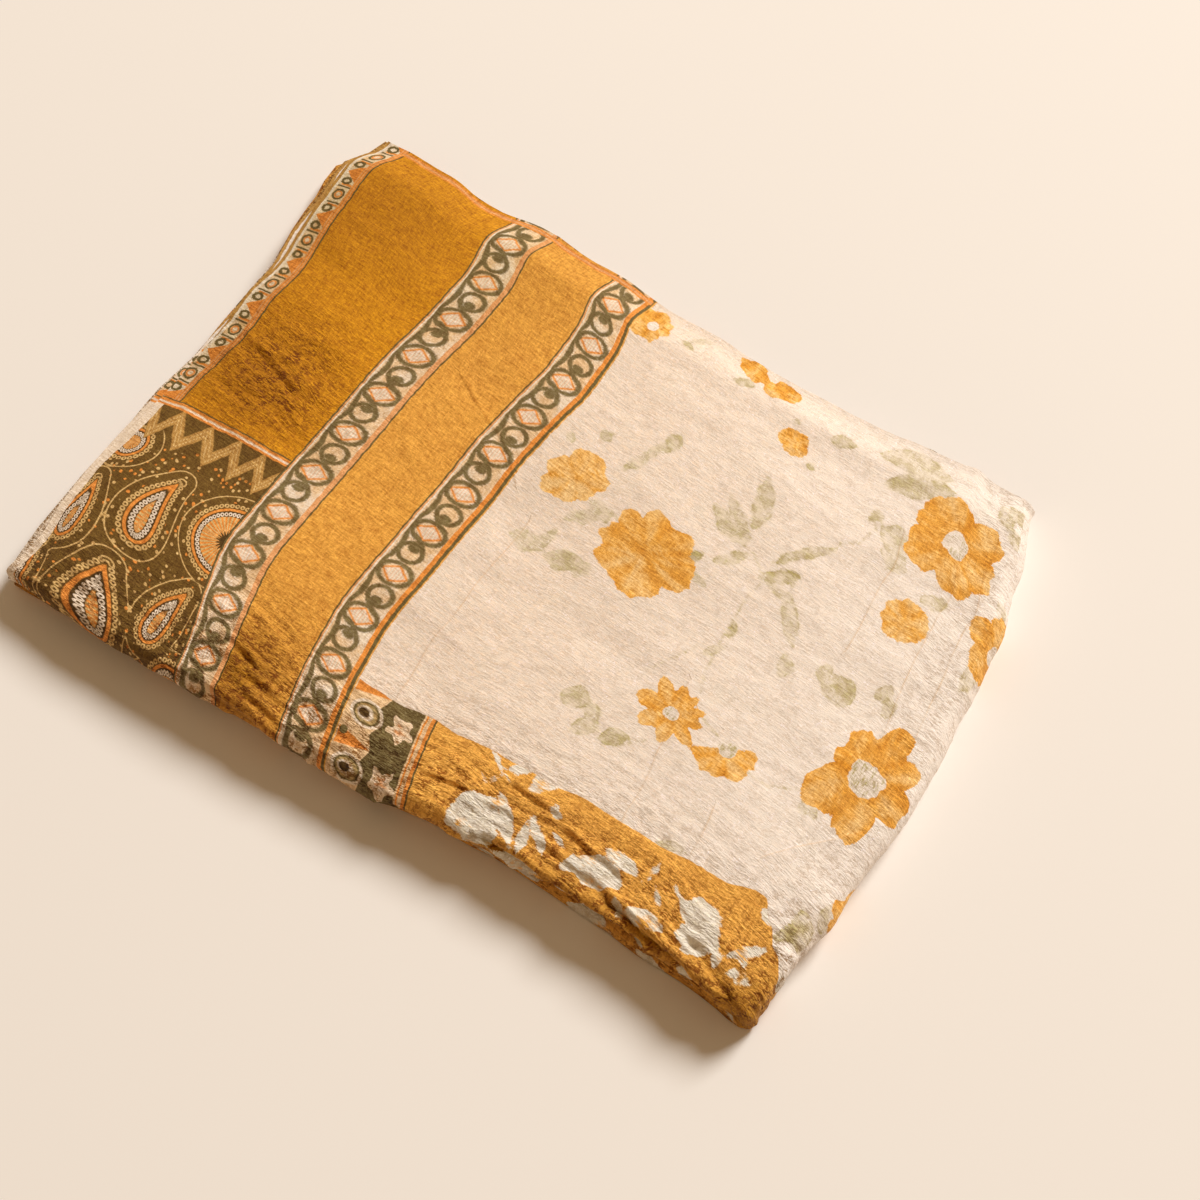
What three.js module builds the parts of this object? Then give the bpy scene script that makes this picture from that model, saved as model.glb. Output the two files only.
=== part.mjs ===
// A printed silk and cotton cloth length, folded into a soft flat pile of eight layers.
// Millimetres, +Z up. The pile rests on z = 0 and the origin is under the middle of it.
// +X runs along the pile's long side, and +Y from its front, a fold, to its back, the selvages.
//
// The cloth is folded in half along its length, which gives an outer and an inner sheet that
// share a turn. Both are folded in half across the width, the outer sheet's fold round the inner
// one's, at the front. This group of four layers is then folded in half along its length again,
// with the bend on the right. So the upper group has the cloth's two ends on the left, and the
// lower group has the turn there.
import * as THREE from "three";

// Driving sizes of the cloth and of the pile
const SHEET = 1.4; // thickness of the crushed cloth
const PITCH = 4.6; // from one layer's middle to the next one's
const LENGTH = 620; // of the pile before it settles, from the cloth's end to the bend's face
const WIDTH = 445; // of the pile before it settles, from the fold's face to the selvages
const LIFT = 2.2; // rise of the pile's crown over its rim
const PUFF = 1.2; // how many layers the upper group's front fold reaches down past its place
const PUFF_REACH = 42; // how far in from the front that puff goes
const INNER_END = 4; // how far the inner sheet's end passes the outer sheet's
const HALF_STEP = 3; // how far the folded-under half's end and selvage pass the upper half's
const MIDDLE = { x: 6.2, y: 9.1 }; // the middle of the pile's box, where the tables below put it
const CLOTH_COLOUR = 0xd9a441;
const CLOTH_ROUGHNESS = 0.85;

// Layers are counted from the bottom one, 0, to the top one. The two groups' middles lie between
// their four layers, and each sheet lies this many layers to both sides of its group's middle.
const TOP_LAYER = 7;
const UPPER_MIDDLE = 5.5;
const LOWER_MIDDLE = 1.5;
const OUTER_SHEET = 1.5;
const INNER_SHEET = 0.5;

// Cells of the surface along the course and across the width
const CELLS = { topRun: 18, run: 8, outerBend: 8, innerBend: 6, turn: 5 };
const WIDTH_CELLS = { upperHalf: 15, fold: 8, lowerHalf: 9 };

// The left side, from the front (depth 0) to the back (depth 1): where the cloth's end lies on the
// top, and how far the lower group's turn stands out past it.
const LEFT_SIDE = [
  { depth: 0.0, end: -290, under: 0 },
  { depth: 0.2, end: -293, under: 4 },
  { depth: 0.36, end: -290, under: 8 },
  { depth: 0.5, end: -288, under: 5 },
  { depth: 0.66, end: -290, under: 5 },
  { depth: 0.83, end: -296, under: 10 },
  { depth: 0.92, end: -300, under: 13 },
  { depth: 1.0, end: -288, under: 8 },
];

// The bend's face on the right, which bellies out before the middle.
const RIGHT_SIDE = [
  { depth: 0.0, face: 308 },
  { depth: 0.1, face: 313 },
  { depth: 0.22, face: 318 },
  { depth: 0.36, face: 324 },
  { depth: 0.5, face: 324 },
  { depth: 0.62, face: 321 },
  { depth: 0.74, face: 316 },
  { depth: 0.86, face: 304 },
  { depth: 1.0, face: 288 },
];

// The front, from the left (along 0) to the right (along 1): the upper group's fold, and how far
// behind it the lower group's fold stays.
const FRONT_SIDE = [
  { along: 0.0, fold: -220, behind: 3 },
  { along: 0.16, fold: -221, behind: 7 },
  { along: 0.28, fold: -218, behind: 9 },
  { along: 0.4, fold: -218, behind: 8 },
  { along: 0.5, fold: -216, behind: 7 },
  { along: 0.6, fold: -208, behind: 4 },
  { along: 0.72, fold: -202, behind: -2 },
  { along: 0.82, fold: -202, behind: -4 },
  { along: 0.9, fold: -207, behind: 0 },
  { along: 1.0, fold: -213, behind: 1 },
];

// The selvages along the back, and how far the lower group's pass them.
const BACK_SIDE = [
  { along: 0.0, selvage: 236, under: 0 },
  { along: 0.1, selvage: 233, under: 1 },
  { along: 0.18, selvage: 227, under: 3 },
  { along: 0.26, selvage: 232, under: 1 },
  { along: 0.36, selvage: 225, under: 3 },
  { along: 0.5, selvage: 218, under: 4 },
  { along: 0.64, selvage: 214, under: 3 },
  { along: 0.78, selvage: 214, under: 1 },
  { along: 0.87, selvage: 217, under: 0 },
  { along: 1.0, selvage: 216, under: 1 },
];

// Broad swells and hollows of the pile, at x and y, with their half lengths, their turn in degrees
// from +X and the rise in the top layer.
const SWELLS = [
  { x: -190, y: 120, long: 130, wide: 60, turn: 10, rise: 2.2 },
  { x: -230, y: -110, long: 90, wide: 70, turn: -15, rise: 1.8 },
  { x: -110, y: -30, long: 40, wide: 150, turn: 8, rise: -1.6 },
  { x: 10, y: 90, long: 110, wide: 60, turn: -6, rise: 1.4 },
  { x: 60, y: -90, long: 46, wide: 120, turn: -12, rise: -1.8 },
  { x: 180, y: 30, long: 90, wide: 80, turn: 20, rise: 2.0 },
  { x: 240, y: -130, long: 90, wide: 60, turn: -8, rise: 1.6 },
  { x: 120, y: -190, long: 70, wide: 26, turn: 4, rise: -2.6 },
  { x: -60, y: -180, long: 90, wide: 30, turn: -3, rise: 1.6 },
  { x: 150, y: 170, long: 110, wide: 26, turn: -2, rise: -2.2 },
];

const { lerp, smoothstep, degToRad } = THREE.MathUtils;

// Smooth value of one column of a table, read along another column. Past its ends it stays.
function read(table, key, at, column) {
  const last = table.length - 2;
  let i = 0;
  while (i < last && at > table[i + 1][key]) i += 1;
  const a = table[i];
  const b = table[i + 1];
  return lerp(a[column], b[column], smoothstep(at, a[key], b[key]));
}

// The group's middle line, as a place along the pile and a layer, with the direction in which the
// upper half lies. share runs from 0 to 1 along each stretch: left to right on the upper run, down
// the bend, and right to left on the lower run.
const BEND_RADIUS = (UPPER_MIDDLE - LOWER_MIDDLE) / 2;
const BEND_X = LENGTH - (BEND_RADIUS + OUTER_SHEET) * PITCH - SHEET / 2;
const TURN_RADIUS = (OUTER_SHEET - INNER_SHEET) / 2;
const TURN_X = TURN_RADIUS * PITCH + SHEET / 2;

const SPINE = {
  upper: (share, end) => ({ x: lerp(end, BEND_X, share), layer: UPPER_MIDDLE, out: 0, up: 1 }),
  bend: (share) => {
    const angle = Math.PI * (0.5 - share);
    return {
      x: BEND_X + BEND_RADIUS * PITCH * Math.cos(angle),
      layer: (UPPER_MIDDLE + LOWER_MIDDLE) / 2 + BEND_RADIUS * Math.sin(angle),
      out: Math.cos(angle),
      up: Math.sin(angle),
    };
  },
  lower: (share) => ({ x: lerp(BEND_X, TURN_X, share), layer: LOWER_MIDDLE, out: 0, up: -1 }),
};

// The cloth's course from the outer sheet's end to the inner sheet's. reach is how many layers the
// sheet lies from the group's middle.
const run = (spine, from, to, reach, cells) => ({
  cells,
  at: (t) => ({ spine, share: lerp(from, to, t), reach, shift: 0 }),
});
const turn = (cells) => ({
  cells,
  at: (t) => ({
    spine: "lower",
    share: 1,
    reach: INNER_SHEET + TURN_RADIUS + TURN_RADIUS * Math.cos(Math.PI * t),
    shift: -TURN_RADIUS * PITCH * Math.sin(Math.PI * t),
  }),
});
const COURSE = [
  run("upper", 0, 1, OUTER_SHEET, CELLS.topRun),
  run("bend", 0, 1, OUTER_SHEET, CELLS.outerBend),
  run("lower", 0, 1, OUTER_SHEET, CELLS.run),
  turn(CELLS.turn),
  run("lower", 1, 0, INNER_SHEET, CELLS.run),
  run("bend", 1, 0, INNER_SHEET, CELLS.innerBend),
  run("upper", 1, 0, INNER_SHEET, CELLS.run),
];

// The cloth's width from the upper half's selvage round the front fold to the lower half's. across
// is 0 at the fold and 1 at a selvage, side is 1 on the upper half and -1 on the lower, and round
// is how far the fold's own curve takes the cloth forward, as a share of its reach.
function widthLines() {
  const lines = [];
  for (let i = 0; i < WIDTH_CELLS.upperHalf; i += 1) {
    lines.push({ across: 1 - i / WIDTH_CELLS.upperHalf, side: 1, round: 0 });
  }
  for (let i = 0; i < WIDTH_CELLS.fold; i += 1) {
    const angle = (Math.PI * i) / WIDTH_CELLS.fold;
    lines.push({ across: 0, side: Math.cos(angle), round: Math.sin(angle) });
  }
  for (let i = 0; i <= WIDTH_CELLS.lowerHalf; i += 1) {
    lines.push({ across: i / WIDTH_CELLS.lowerHalf, side: -1, round: 0 });
  }
  return lines;
}

// How far the pile's top layer rises over its plain height at a place.
function rise(x, y, along, depth) {
  const crown = (1 - (2 * along - 1) ** 4) * (1 - (2 * depth - 1) ** 4);
  let sum = LIFT * crown;
  for (const s of SWELLS) {
    const angle = degToRad(s.turn);
    const long = ((x - s.x) * Math.cos(angle) + (y - s.y) * Math.sin(angle)) / s.long;
    const wide = ((y - s.y) * Math.cos(angle) - (x - s.x) * Math.sin(angle)) / s.wide;
    sum += s.rise * Math.exp(-(long * long + wide * wide));
  }
  return sum;
}

// Takes a place in the plain folded pile to its place in the settled, uneven one.
const SEAM = LOWER_MIDDLE + OUTER_SHEET; // the lower group's top layer
function settle(plainX, plainY, layer) {
  const along = plainX / LENGTH;
  const depth = plainY / WIDTH;
  const low = 1 - smoothstep(layer, SEAM, SEAM + 1);
  const left = read(LEFT_SIDE, "depth", depth, "end") - low * read(LEFT_SIDE, "depth", depth, "under");
  const right = read(RIGHT_SIDE, "depth", depth, "face");
  const front = read(FRONT_SIDE, "along", along, "fold") + low * read(FRONT_SIDE, "along", along, "behind");
  const back = read(BACK_SIDE, "along", along, "selvage") + low * read(BACK_SIDE, "along", along, "under");
  const x = lerp(left, right, along);
  const y = lerp(front, back, depth);
  const fromTop = (TOP_LAYER - layer) / (TOP_LAYER - SEAM - 1);
  const puff = PUFF * Math.exp(-((plainY / PUFF_REACH) ** 2));
  const height = layer - puff * Math.min(fromTop, layer / SEAM, 1);
  const z = SHEET / 2 + height * PITCH + (height / TOP_LAYER) * rise(x, y, along, depth);
  return new THREE.Vector3(x, y, z);
}

// The middle of the sheet's thickness, at a point of the course and on a line of the width.
const FOLD_Y = OUTER_SHEET * PITCH + SHEET / 2;
function place(point, line) {
  const under = (1 - line.side) / 2;
  const end = -INNER_END * (OUTER_SHEET - point.reach) - HALF_STEP * under;
  const middle = SPINE[point.spine](point.share, end);
  const offset = point.reach * line.side;
  const x = middle.x + point.shift + offset * PITCH * middle.out;
  const y = lerp(FOLD_Y, WIDTH + HALF_STEP * under, line.across) - point.reach * PITCH * line.round;
  return settle(x, y, middle.layer + offset * middle.up);
}

// The grid of middle points: a row for each step of the course, a column for each width line.
function middleGrid() {
  const lines = widthLines();
  const rows = [];
  COURSE.forEach((stretch, index) => {
    for (let i = index === 0 ? 0 : 1; i <= stretch.cells; i += 1) {
      const point = stretch.at(i / stretch.cells);
      rows.push(lines.map((line) => place(point, line)));
    }
  });
  return rows;
}

// The cloth's direction at a grid point, square to both ways of the grid.
function normalAt(grid, i, j) {
  const row = grid[i];
  const before = grid[Math.max(i - 1, 0)][j];
  const after = grid[Math.min(i + 1, grid.length - 1)][j];
  const left = row[Math.max(j - 1, 0)];
  const right = row[Math.min(j + 1, row.length - 1)];
  const along = new THREE.Vector3().subVectors(after, before);
  const across = new THREE.Vector3().subVectors(right, left);
  return new THREE.Vector3().crossVectors(across, along).normalize();
}

// A closed sheet of the given thickness about a grid of middle points. It rests on z = 0.
function sheetGeometry(grid, thickness) {
  const rows = grid.length;
  const columns = grid[0].length;
  const positions = [];
  const index = [];
  for (const side of [thickness / 2, -thickness / 2]) {
    for (let i = 0; i < rows; i += 1) {
      for (let j = 0; j < columns; j += 1) {
        const p = grid[i][j].clone().addScaledVector(normalAt(grid, i, j), side);
        positions.push(p.x, p.y, Math.max(p.z, 0));
      }
    }
  }
  const id = (i, j, face) => (face * rows + i) * columns + j;
  const quad = (a, b, c, d) => index.push(a, b, c, a, c, d);
  for (let i = 0; i < rows - 1; i += 1) {
    for (let j = 0; j < columns - 1; j += 1) {
      quad(id(i, j, 0), id(i, j + 1, 0), id(i + 1, j + 1, 0), id(i + 1, j, 0));
      quad(id(i, j, 1), id(i + 1, j, 1), id(i + 1, j + 1, 1), id(i, j + 1, 1));
    }
    const last = columns - 1;
    quad(id(i, 0, 0), id(i + 1, 0, 0), id(i + 1, 0, 1), id(i, 0, 1));
    quad(id(i, last, 1), id(i + 1, last, 1), id(i + 1, last, 0), id(i, last, 0));
  }
  for (let j = 0; j < columns - 1; j += 1) {
    const last = rows - 1;
    quad(id(0, j, 1), id(0, j + 1, 1), id(0, j + 1, 0), id(0, j, 0));
    quad(id(last, j, 0), id(last, j + 1, 0), id(last, j + 1, 1), id(last, j, 1));
  }
  const geometry = new THREE.BufferGeometry();
  geometry.setAttribute("position", new THREE.Float32BufferAttribute(positions, 3));
  geometry.setIndex(index);
  return geometry;
}

function foldedCloth() {
  const material = new THREE.MeshStandardMaterial({
    color: CLOTH_COLOUR,
    roughness: CLOTH_ROUGHNESS,
    metalness: 0,
    side: THREE.DoubleSide,
  });
  const geometry = sheetGeometry(middleGrid(), SHEET);
  geometry.translate(-MIDDLE.x, -MIDDLE.y, 0);
  const mesh = new THREE.Mesh(geometry, material);
  mesh.name = "folded_cloth";
  return mesh;
}

const part = new THREE.Group();
part.add(foldedCloth());

export default part;
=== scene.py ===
"""The looks of the folded printed cloth: one crushed, printed sheet that follows the CAD solid's folds.

Lengths are in millimetres up to the last step of the cloth's mesh, and in metres after it.
"""
import math

import bpy
import numpy as np
from mathutils import Euler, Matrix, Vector


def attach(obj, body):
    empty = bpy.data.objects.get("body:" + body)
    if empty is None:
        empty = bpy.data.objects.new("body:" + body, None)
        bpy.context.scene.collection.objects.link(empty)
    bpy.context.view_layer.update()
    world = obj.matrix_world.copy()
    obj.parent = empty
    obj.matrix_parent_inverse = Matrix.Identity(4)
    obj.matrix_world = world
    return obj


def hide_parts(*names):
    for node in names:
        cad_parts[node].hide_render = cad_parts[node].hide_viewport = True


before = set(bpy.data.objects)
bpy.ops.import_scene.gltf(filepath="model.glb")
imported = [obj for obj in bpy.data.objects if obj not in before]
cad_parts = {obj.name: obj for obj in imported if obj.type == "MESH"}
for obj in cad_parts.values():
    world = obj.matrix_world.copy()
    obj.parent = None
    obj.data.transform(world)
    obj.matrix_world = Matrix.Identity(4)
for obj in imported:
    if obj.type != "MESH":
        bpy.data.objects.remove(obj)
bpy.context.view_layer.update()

MM = 0.001

# ---- the pile, as the CAD solid has it
PITCH = 4.6  # from one layer's middle to the next one's
SHEET = 1.4
LENGTH = 620.0
WIDTH = 445.0
LIFT = 2.2
PUFF = 1.2  # how much fuller the front fold is, in layers
PUFF_REACH = 42.0
INNER_END = 4.0  # how far the inner sheet's end passes the outer one's
HALF_STEP = 3.0  # how far the lower half's edges pass the upper half's
LOWER_OUT = 4.0
LEFT_REACH = 120.0
FLOOR_GAP = 0.45
LOWEST = 0.2
MIDDLE = (6.2, 9.1)
TOP_LAYER = 7.0
UPPER_MIDDLE = 5.5
LOWER_MIDDLE = 1.5
OUTER_SHEET = 1.5
INNER_SHEET = 0.5
SEAM = LOWER_MIDDLE + OUTER_SHEET
BEND_RADIUS = (UPPER_MIDDLE - LOWER_MIDDLE) / 2
BEND_X = LENGTH - (BEND_RADIUS + OUTER_SHEET) * PITCH - SHEET / 2
TURN_RADIUS = (OUTER_SHEET - INNER_SHEET) / 2
TURN_X = TURN_RADIUS * PITCH + SHEET / 2
FOLD_Y = OUTER_SHEET * PITCH + SHEET / 2

LEFT_SIDE = np.array([  # depth, the cloth's end, how far the lower group's turn passes it
    (0.0, -290, 0), (0.2, -293, 4), (0.36, -290, 8), (0.5, -288, 5), (0.66, -290, 5),
    (0.83, -296, 10), (0.92, -300, 13), (1.0, -288, 8),
])
RIGHT_SIDE = np.array([  # depth, the bend's face
    (0.0, 308), (0.1, 313), (0.22, 318), (0.36, 324), (0.5, 324), (0.62, 321), (0.74, 316),
    (0.86, 304), (1.0, 288),
])
FRONT_SIDE = np.array([  # share of the length, the upper group's fold, how far behind the lower's is
    (0.0, -220, 3), (0.16, -221, 7), (0.28, -218, 9), (0.4, -218, 8), (0.5, -216, 7),
    (0.6, -208, 4), (0.72, -202, -2), (0.82, -202, -4), (0.9, -207, 0), (1.0, -213, 1),
])
BACK_SIDE = np.array([  # share of the length, the selvages, how far the lower group's pass them
    (0.0, 236, 0), (0.1, 233, 1), (0.18, 227, 3), (0.26, 232, 1), (0.36, 225, 3), (0.5, 218, 4),
    (0.64, 214, 3), (0.78, 214, 1), (0.87, 217, 0), (1.0, 216, 1),
])
SWELLS = [  # x, y, half length, half width, turn in degrees, rise
    (-190, 120, 130, 60, 10, 2.2), (-230, -110, 90, 70, -15, 1.8), (-110, -30, 40, 150, 8, -1.6),
    (10, 90, 110, 60, -6, 1.4), (60, -90, 46, 120, -12, -1.8), (180, 30, 90, 80, 20, 2.0),
    (240, -130, 90, 60, -8, 1.6), (120, -190, 70, 26, 4, -2.6), (-60, -180, 90, 30, -3, 1.6),
    (150, 170, 110, 26, -2, -2.2),
]


def smooth(t):
    t = np.clip(t, 0.0, 1.0)
    return t * t * (3 - 2 * t)


def lerp(a, b, t):
    return a + (b - a) * t


def hill(distance, reach):
    return np.exp(-((distance / reach) ** 2))


def read(table, at, column=1):
    """Smooth value of a table's column. Past its ends it stays."""
    keys, values = table[:, 0], table[:, column]
    i = np.clip(np.searchsorted(keys, at) - 1, 0, len(keys) - 2)
    return lerp(values[i], values[i + 1], smooth((at - keys[i]) / (keys[i + 1] - keys[i])))


def curve(table, at):
    """Value of a table along a curve without flat places at its rows."""
    keys, values = table[:, 0], table[:, 1]
    slopes = np.gradient(values, keys)
    i = np.clip(np.searchsorted(keys, at) - 1, 0, len(keys) - 2)
    h = keys[i + 1] - keys[i]
    t = np.clip((at - keys[i]) / h, 0.0, 1.0)
    start = values[i] * (1 + 2 * t) * (1 - t) ** 2 + slopes[i] * h * t * (1 - t) ** 2
    return start + values[i + 1] * t * t * (3 - 2 * t) - slopes[i + 1] * h * t * t * (1 - t)


def noise(x, y, seed):
    """Smooth noise between -1 and 1 with cells of one unit."""
    table = np.random.default_rng(seed).uniform(-1, 1, (128, 128))
    x, y = np.broadcast_arrays(np.asarray(x, float), np.asarray(y, float))
    i, j = np.floor(x).astype(int), np.floor(y).astype(int)
    s, t = smooth(x - i), smooth(y - j)
    i, j, k, m = i % 128, j % 128, (i + 1) % 128, (j + 1) % 128
    return lerp(lerp(table[i, j], table[k, j], s), lerp(table[i, m], table[k, m], s), t)


def ridges(x, y, seed, sharp):
    """Ridges with a mean of about 0 that run where the noise crosses 0."""
    return (1 - np.abs(noise(x, y, seed))) ** sharp - RIDGE_MEAN


def patches(u, v, rows):
    """Sum of soft patches: rows of u, v, reach along and across, strength."""
    return sum(row[4] * hill(u - row[0], row[2]) * hill(v - row[1], row[3]) for row in rows)


# ---- the cloth's lines: along its course and across its width
COURSE = [  # stretch of the spine, its share at the start and end, reach, cells, length of cloth
    ("upper", 0, 1, OUTER_SHEET, 200, BEND_X),
    ("bend", 0, 1, OUTER_SHEET, 18, 3.5 * math.pi * PITCH),
    ("lower", 0, 1, OUTER_SHEET, 56, BEND_X - TURN_X),
    ("turn", 0, 1, None, 6, math.pi * TURN_RADIUS * PITCH),
    ("lower", 1, 0, INNER_SHEET, 20, BEND_X - TURN_X),
    ("bend", 1, 0, INNER_SHEET, 10, 2.5 * math.pi * PITCH),
    ("upper", 1, 0, INNER_SHEET, 24, BEND_X + INNER_END),
]
CLOTH_LENGTH = sum(row[5] for row in COURSE)
UPPER_HALF = [(WIDTH, 84.0, 176), (84.0, FOLD_Y, 56)]  # from, to, cells
FOLD_CELLS = 18
LOWER_CELLS = 26


def spine(kind, share, end):
    """Place of a group's middle line: x, layer, and the direction of the upper half (out, up)."""
    if kind == "upper":
        return lerp(end, BEND_X, share), UPPER_MIDDLE, 0.0, 1.0
    if kind == "bend":
        angle = math.pi * (0.5 - share)
        layer = (UPPER_MIDDLE + LOWER_MIDDLE) / 2 + BEND_RADIUS * math.sin(angle)
        x = BEND_X + BEND_RADIUS * PITCH * math.cos(angle)
        return x, layer, math.cos(angle), math.sin(angle)
    return lerp(BEND_X, TURN_X, share), LOWER_MIDDLE, 0.0, -1.0


def course_steps():
    """Steps along the cloth as (kind, share, reach, shift, place along the cloth)."""
    steps, before = [], 0.0
    for kind, start, stop, reach, cells, length in COURSE:
        for i in range(0 if not steps else 1, cells + 1):
            t = i / cells
            if kind == "turn":
                wide = INNER_SHEET + TURN_RADIUS + TURN_RADIUS * math.cos(math.pi * t)
                shift = -TURN_RADIUS * PITCH * math.sin(math.pi * t)
                steps.append(("lower", 1.0, wide, shift, before + t * length))
            else:
                steps.append((kind, lerp(start, stop, t), reach, 0.0, before + t * length))
        before += length
    return steps


def width_lines():
    """Lines across the cloth as arrays: plain y, side, round, and place across the cloth."""
    y, side, round_, v = [], [], [], []
    for start, stop, cells in UPPER_HALF:
        for i in range(cells):
            y.append(lerp(start, stop, i / cells))
            side.append(1.0)
            round_.append(0.0)
            v.append(y[-1])
    for i in range(FOLD_CELLS):
        angle = math.pi * i / FOLD_CELLS
        y.append(FOLD_Y)
        side.append(math.cos(angle))
        round_.append(math.sin(angle))
        v.append(FOLD_Y - OUTER_SHEET * PITCH * angle)
    low = FOLD_Y - OUTER_SHEET * PITCH * math.pi
    for i in range(LOWER_CELLS + 1):
        across = i / LOWER_CELLS
        y.append(lerp(FOLD_Y, WIDTH + HALF_STEP, across))
        side.append(-1.0)
        round_.append(0.0)
        v.append(low - across * (WIDTH - FOLD_Y))
    return tuple(np.array(a) for a in (y, side, round_, v))


def rise(x, y, along, depth):
    """How far the top layer rises over its plain height."""
    total = LIFT * (1 - (2 * along - 1) ** 4) * (1 - (2 * depth - 1) ** 4)
    for at_x, at_y, long, wide, turn, height in SWELLS:
        c, s = math.cos(math.radians(turn)), math.sin(math.radians(turn))
        p = ((x - at_x) * c + (y - at_y) * s) / long
        q = ((y - at_y) * c - (x - at_x) * s) / wide
        total = total + height * np.exp(-(p * p + q * q))
    return total


def loose_height(x, y, layer):
    """The layers' uneven spacing: from the layer's number to its height in plain layers."""
    gaps = np.stack([
        0.95 + 0.42 * noise(x / 85 + 3 * k, y / 70, 40 + k) + 0.22 * noise(x / 33, y / 31 + k, 60 + k)
        for k in range(int(TOP_LAYER))
    ])
    below = np.concatenate([np.zeros_like(gaps[:1]), np.cumsum(gaps, 0)])
    k = np.clip(np.floor(layer).astype(int), 0, int(TOP_LAYER) - 1)
    start = np.take_along_axis(below, k[None], 0)[0]
    gap = np.take_along_axis(gaps, k[None], 0)[0]
    return (start + gap * (layer - k)) / below[-1] * TOP_LAYER


def settle(x, y, layer):
    """From a place in the plain folded pile to its place in the settled, uneven one."""
    along, depth = x / LENGTH, y / WIDTH
    low = 1 - smooth((layer - SEAM) / 1.0)
    left = read(LEFT_SIDE, depth) - low * (read(LEFT_SIDE, depth, 2) + LOWER_OUT)
    left = left + (2.6 - 0.8 * low) * noise(y / 34, layer * 0.9, 11) * (1 - smooth(x / LEFT_REACH))
    right = read(RIGHT_SIDE, depth) + 1.4 * noise(y / 46, layer * 0.5, 12) * smooth(along * 2 - 1)
    front = read(FRONT_SIDE, along) + low * read(FRONT_SIDE, along, 2)
    front = front + lerp(1.5 * noise(x / 52, 0.5, 13), 3.2 * noise(x / 38, 0.5, 14), low)
    back = read(BACK_SIDE, along) + low * read(BACK_SIDE, along, 2)
    back = back + 2.4 * noise(x / 58, layer * 0.8, 15) + 1.0 * noise(x / 19, layer * 0.8, 16)
    back = back + 4.0 * hill(x - 566, 9) * (layer > 6.5)
    at_x, at_y = lerp(left, right, along), lerp(front, back, depth)
    from_top = (TOP_LAYER - layer) / (TOP_LAYER - SEAM - 1)
    puff = PUFF * hill(y, PUFF_REACH) * np.clip(np.minimum(from_top, layer / SEAM), -1, 1)
    height = loose_height(x, y, layer) - puff
    droop = 0.2 * (1 - smooth((WIDTH - y) / 34)) + 0.14 * (1 - smooth(x / 26))
    height = height * (1 - np.clip(droop, 0, 0.26))
    z = FLOOR_GAP + height * PITCH + (height / TOP_LAYER) * rise(at_x, at_y, along, depth)
    return np.stack([at_x, at_y, z], -1)


def folded_grid():
    """Places of the cloth's points, with each one's place along (u) and across (v) the cloth."""
    y0, side, round_, v = width_lines()
    xs, ys, layers, us = [], [], [], []
    for kind, share, reach, shift, u in course_steps():
        lower = (1 - side) / 2
        end = -INNER_END * (OUTER_SHEET - reach) - HALF_STEP * lower
        x, layer, out, up = spine(kind, share, end)
        offset = reach * side
        xs.append(x + shift + offset * PITCH * out)
        layers.append(layer + offset * up + 0 * side)
        ys.append(y0 - reach * PITCH * round_)
        us.append(np.full_like(v, u))
    x, y, layer, u = (np.stack(a) for a in (xs, ys, layers, us))
    return settle(x, y, layer), u, np.broadcast_to(v, u.shape)


def normals(points):
    along = np.gradient(points, axis=0)
    across = np.gradient(points, axis=1)
    n = np.cross(across, along)
    return n / np.maximum(np.linalg.norm(n, axis=-1, keepdims=True), 1e-9)


# ---- creases and crinkles
CREASES = [  # lines pressed in by earlier folds, as places on the top layer
    [(286, 232), (285, 160), (287, 105), (296, 58)], [(448, 177), (464, 106), (478, 30)],
    [(514, 104), (528, 44)], [(597, 398), (592, 297), (599, 210)], [(575, 367), (570, 282), (578, 212)],
    [(530, 366), (526, 302), (527, 257)], [(178, 300), (236, 272), (262, 250)],
    [(600, 150), (560, 96)],
]
PLEATS = [  # folds of the front roll: places along it, depth, half width
    ([(404, 3), (436, -3), (480, -7), (530, -5)], 4.6, 3.4),
    ([(500, 6), (550, 1), (590, -7)], 4.0, 3.2), ([(330, -5), (372, -8), (420, -10)], 3.0, 3.4),
    ([(170, 2), (215, -4), (262, -6)], 2.0, 3.2), ([(436, 17), (474, 12), (524, 4)], 2.0, 2.4),
    ([(560, 18), (600, 6)], 2.4, 3.0), ([(340, 24), (372, 27)], 1.3, 1.8),
    ([(398, 46), (436, 40)], 1.4, 1.8), ([(446, 33), (496, 24)], 1.5, 2.0),
    ([(196, 24), (238, 18)], 1.4, 2.0), ([(166, 40), (196, 34)], 1.2, 1.8),
    ([(204, 12), (244, 5)], 1.6, 2.2), ([(36, 236), (78, 224)], 1.3, 1.9),
    ([(52, 212), (98, 204)], 1.3, 1.9), ([(30, 200), (56, 196)], 1.0, 1.6),
]
PLEAT_RISE = (0.6, 2.1)  # the swelling beside a pleat: share of its depth, place in half widths
PRESSED = (0.17, 1.7, 2.0)  # a crease's two lips: height, place, half width
RIDGE_MEAN = 0.33
CRUSH_FRONT = (8, 44)  # v where the fade from the front starts, reach
CRUSH_GROWS = (150, 180)  # u where the front's crush starts to grow, length
MOST_CRUSH = 1.25
CRUSHED = [  # u, v, reach along and across, strength
    (66, 226, 50, 46, 0.85), (188, 34, 44, 44, 0.6), (606, 0, 30, math.inf, 0.16),
]
SWAY = [(7, 42, 36, 21), (3, 16, 14, 22)]  # height, length, width, seed
HOLLOWS = (1.0, 92, 46, 24)
FOLLOWING = (0.6, 47, 23, 25)
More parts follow.
